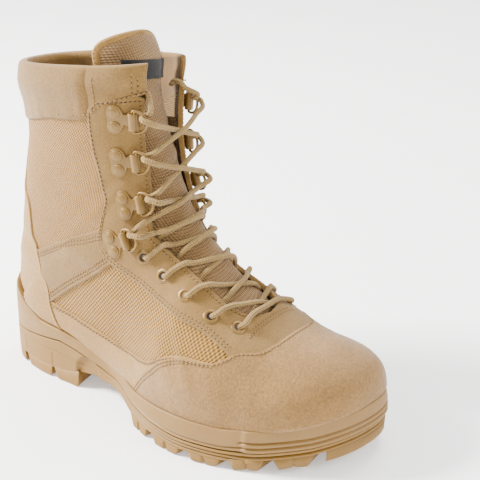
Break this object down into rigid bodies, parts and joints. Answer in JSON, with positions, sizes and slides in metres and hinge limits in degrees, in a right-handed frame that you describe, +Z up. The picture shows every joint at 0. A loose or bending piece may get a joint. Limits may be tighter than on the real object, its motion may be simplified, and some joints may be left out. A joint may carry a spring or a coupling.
{
  "type": "combat boot",
  "caption": "Ankle-high laced boot for the right foot with a padded collar, gusset tongue, riveted lace rings, a rubber cup and a deeply lugged sole.",
  "frame": {"origin": "middle of the bounding box's bottom, on the floor the boot stands on", "axes": "+X from heel to toe, +Y towards the medial side, +Z up the shaft"},
  "size_m": [0.311, 0.1229, 0.273],
  "materials": {
    "tread_rubber": "matt moulded rubber, sand coloured",
    "cup_rubber": "matt moulded rubber, sand coloured",
    "insole_cloth": "knitted lining cloth",
    "suede": "sand suede with woven nylon panels",
    "tongue_cloth": "woven nylon with a bound edge",
    "lace_cord": "round braided cord",
    "hardware": "satin sand paint on steel"
  },
  "bodies": {
    "root": {"outsole": "tread_rubber", "midsole": "cup_rubber", "insole": "insole_cloth", "upper": "suede", "tongue": "tongue_cloth", "laces": "lace_cord", "eyelet_lateral_1": "hardware", "eyelet_lateral_2": "hardware", "eyelet_lateral_3": "hardware", "eyelet_lateral_4": "hardware", "eyelet_lateral_5": "hardware", "ring_plate_lateral_1": "hardware", "ring_plate_lateral_2": "hardware", "ring_plate_lateral_3": "hardware", "ring_plate_lateral_4": "hardware", "lace_ring_lateral_1": "hardware", "lace_ring_lateral_2": "hardware", "lace_ring_lateral_3": "hardware", "lace_ring_lateral_4": "hardware", "eyelet_medial_1": "hardware", "eyelet_medial_2": "hardware", "eyelet_medial_3": "hardware", "eyelet_medial_4": "hardware", "eyelet_medial_5": "hardware", "ring_plate_medial_1": "hardware", "ring_plate_medial_2": "hardware", "ring_plate_medial_3": "hardware", "ring_plate_medial_4": "hardware", "lace_ring_medial_1": "hardware", "lace_ring_medial_2": "hardware", "lace_ring_medial_3": "hardware", "lace_ring_medial_4": "hardware"}
  },
  "joints": []
}
